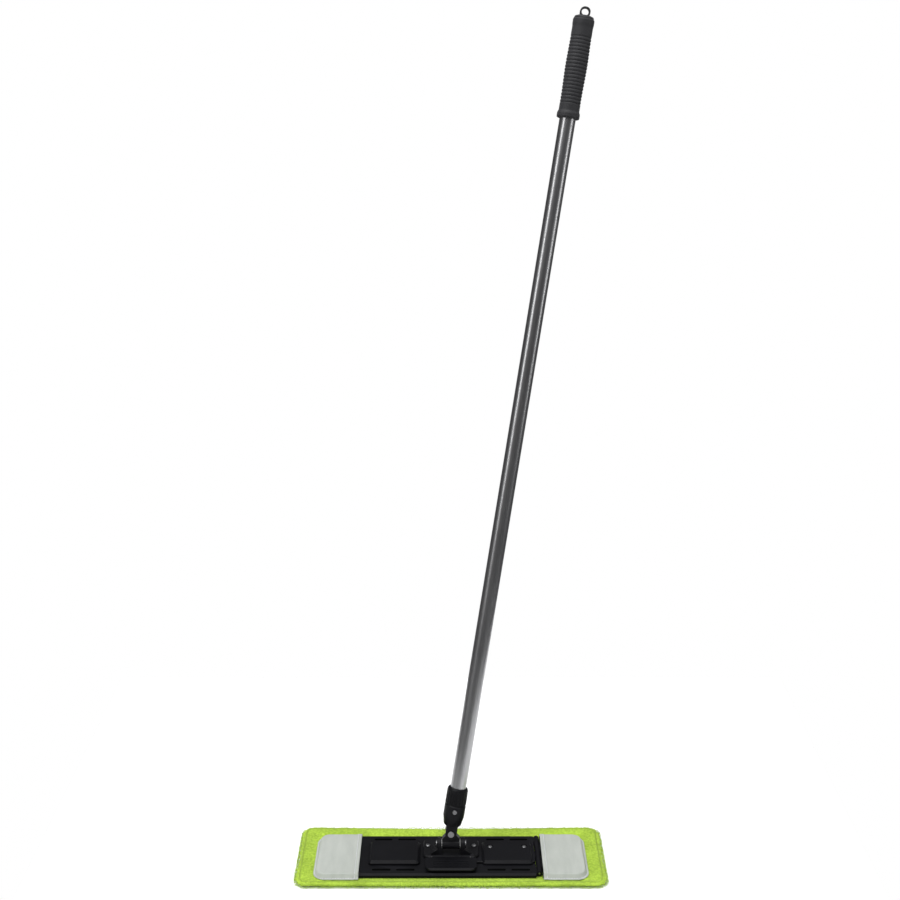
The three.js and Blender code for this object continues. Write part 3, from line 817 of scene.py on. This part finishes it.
def make_pad_seam(height):
    """A zigzag seam that holds the pile to the pad, near its edge."""
    inset = 8 * MM
    pitch = 3.2 * MM
    width = 1.5 * MM
    walk = walk_pad(inset, PAD_CORNER - 6 * MM, pitch / 4)
    count = len(walk) - len(walk) % 4
    points = []
    for k, (point, out) in enumerate(walk[:count]):
        swing = (0, 1, 0, -1)[k % 4] * width
        x, y = point + out * swing
        dip = 0.25 * MM * (1 if k % 4 in (1, 3) else 0)
        points.append((x, y, height(x, y, PAD_TOP) + 0.25 * MM - dip))
    threads = Threads(sides=5)
    threads.add(points, 0.42 * MM, closed=True)
    piece = add_piece("pad_seam", threads.mesh("pad_seam"), "seam")
    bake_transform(piece)


# ---------------------------------------------------------------- pockets
CLOTH = 0.9 * MM
FLANGE = 5.6 * MM


def pocket_height(x, y, side):
    """Height of a pocket's outer face: stretched over the plate's end, sewn down round it."""
    beside = outside_plate(x, y)
    top = PLATE_TOP + 1.45 * MM
    down = PAD_TOP + 1.25 * MM
    z = blended(top, down, smoothstep(-0.2 * MM, 4.2 * MM, beside))
    from_mouth = abs(x) - POCKET_MOUTH
    over_plate = 1 - smoothstep(-2 * MM, 3 * MM, beside)
    gape = 0.5 * MM * over_plate * (1 - smoothstep(0, 9 * MM, from_mouth))
    hem = 0.55 * MM * (1 - smoothstep(6.2 * MM, 7.2 * MM, from_mouth))
    where = Vector((x / (17 * MM), y / (26 * MM), 3.1 * side))
    wave = 0.45 * MM * max(0.0, noise.noise(where) + 0.15)
    pull = abs(y) / PLATE_HALF_Y
    fold_line = math.sin((from_mouth * 0.75 - abs(y) * 0.55) / (3.4 * MM) + 2.2 * side)
    fold = 0.28 * MM * pull ** 3 * max(0.0, fold_line) * smoothstep(8 * MM, 16 * MM, from_mouth)
    pucker_at = Vector((x / (3.6 * MM), y / (3.6 * MM), 9.0 * side))
    pucker = 0.3 * MM * noise.noise(pucker_at) * smoothstep(1 * MM, 5 * MM, beside)
    return z + gape + hem + (wave + fold) * over_plate + max(0.0, pucker)


def pocket_mesh(name, side):
    """A sheet over the plate's end, with finer rows and columns towards its sewn edges."""
    end_x = PLATE_HALF_X + FLANGE
    half_y = PLATE_HALF_Y + FLANGE
    corner = PLATE_CORNER + FLANGE
    rows, columns = 56, 96
    crowding = 0.92 * math.pi / 2
    vertices, faces = [], []
    for i in range(rows + 1):
        x = blended(POCKET_MOUTH, end_x, math.sin(math.pi / 2 * i / rows))
        into_corner = max(0.0, x - (end_x - corner))
        half = half_y - corner + math.sqrt(max(0.0, corner ** 2 - into_corner ** 2))
        for j in range(columns + 1):
            across_cloth = 2 * j / columns - 1
            y = half * math.sin(crowding * across_cloth) / math.sin(crowding)
            vertices.append((side * x, y, pocket_height(side * x, y, side)))
    for i in range(rows):
        for j in range(columns):
            a = i * (columns + 1) + j
            corners = (a, a + columns + 1, a + columns + 2, a + 1)
            faces.append(corners if side > 0 else tuple(reversed(corners)))
    return mesh_from(name, vertices, faces)


def add_stitches(threads, points, height, pitch=3.6 * MM, length=2.5 * MM):
    """Running stitches along a line of (x, y) points, each a short strand lying on the cloth."""
    at = 0.0
    for start, end in zip(points, points[1:]):
        start, end = Vector(start), Vector(end)
        step = (end - start).length
        if step < 1e-9:
            continue
        ahead = (end - start) / step
        while at < step:
            centre = start + ahead * at
            strand = []
            for share, rise in ((-0.5, -0.25), (-0.3, 0.22), (0, 0.3), (0.3, 0.22), (0.5, -0.25)):
                x, y = centre + ahead * length * share
                strand.append((x, y, height(x, y) + rise * MM))
            threads.add(strand, 0.36 * MM)
            at += pitch
        at -= step


def make_pocket(name, side, body, node):
    piece = add_piece(name, pocket_mesh(name, side), "pocket")
    thickness = piece.modifiers.new("thickness", "SOLIDIFY")
    thickness.thickness = CLOTH
    thickness.offset = -1
    threads = Threads(sides=6)

    def height(x, y):
        return pocket_height(x, y, side)

    hem_x = side * (POCKET_MOUTH + 5.2 * MM)
    hem_half = PLATE_HALF_Y + 3 * MM
    add_stitches(threads, [(hem_x, -hem_half), (hem_x, hem_half)], height)
    line = 3.9 * MM
    walk = walk_rectangle(PLATE_HALF_X + line, PLATE_HALF_Y + line, PLATE_CORNER + line, 2 * MM)
    path = [p for p, _ in walk if side * p.x > POCKET_MOUTH + 1.5 * MM]
    split = next((k for k in range(1, len(path)) if (path[k] - path[k - 1]).length > 9 * MM), 0)
    path = path[split:] + path[:split]
    add_stitches(threads, path, height)
    stitches_name = name + "_stitches"
    stitches_mesh = threads.mesh(stitches_name)
    stitches = add_piece(stitches_name, stitches_mesh, "thread")
    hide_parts(node)
    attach(piece, body)
    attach(stitches, body)


# ---------------------------------------------------------------- springs
def make_spring(name, node, fixed_end, moving_end, radius, wire, turns):
    """A coil in the place of a CAD spring, wound from fixed_end to moving_end."""
    fixed_end, moving_end = Vector(fixed_end), Vector(moving_end)
    along = (moving_end - fixed_end).normalized()
    side = along.orthogonal().normalized()
    up = along.cross(side)
    count = turns * 24
    points = []
    for k in range(count + 1):
        turn = 2 * math.pi * turns * k / count
        outward = side * math.cos(turn) + up * math.sin(turn)
        points.append(fixed_end.lerp(moving_end, k / count) + outward * radius)
    threads = Threads(sides=8)
    threads.add(points, wire, upright=along)
    piece = add_piece(name, threads.mesh(name), "steel")
    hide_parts(node)
    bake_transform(piece)


def make_springs():
    low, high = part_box("pedal_spring")
    x, y = (low.x + high.x) / 2, (low.y + high.y) / 2
    wire = 0.5 * MM
    bottom, top = (x, y, low.z + wire), (x, y, high.z - wire)
    make_spring("pedal_coil", "pedal_spring", bottom, top, 4 * MM, wire, 4)
    low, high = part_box("latch_spring")
    y, z = (low.y + high.y) / 2, (low.z + high.z) / 2
    wire = 0.35 * MM
    inner, outer = (low.x + wire, y, z), (high.x - wire, y, z)
    make_spring("latch_coil", "latch_spring", inner, outer, 2.6 * MM, wire, 6)


make_camera()
make_studio()
make_floor()
refine_moulded_parts()
make_springs()
make_tube()
make_collar()
make_grip()
pad = make_pad()
pad_height = surface_of(pad)
make_pad_seam(pad_height)
make_pile_loops()
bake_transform(pad)
make_pocket("left_pocket_cloth", -1, "plate", "pocket_left")
make_pocket("right_pocket_cloth", 1, "flap", "pocket_right")
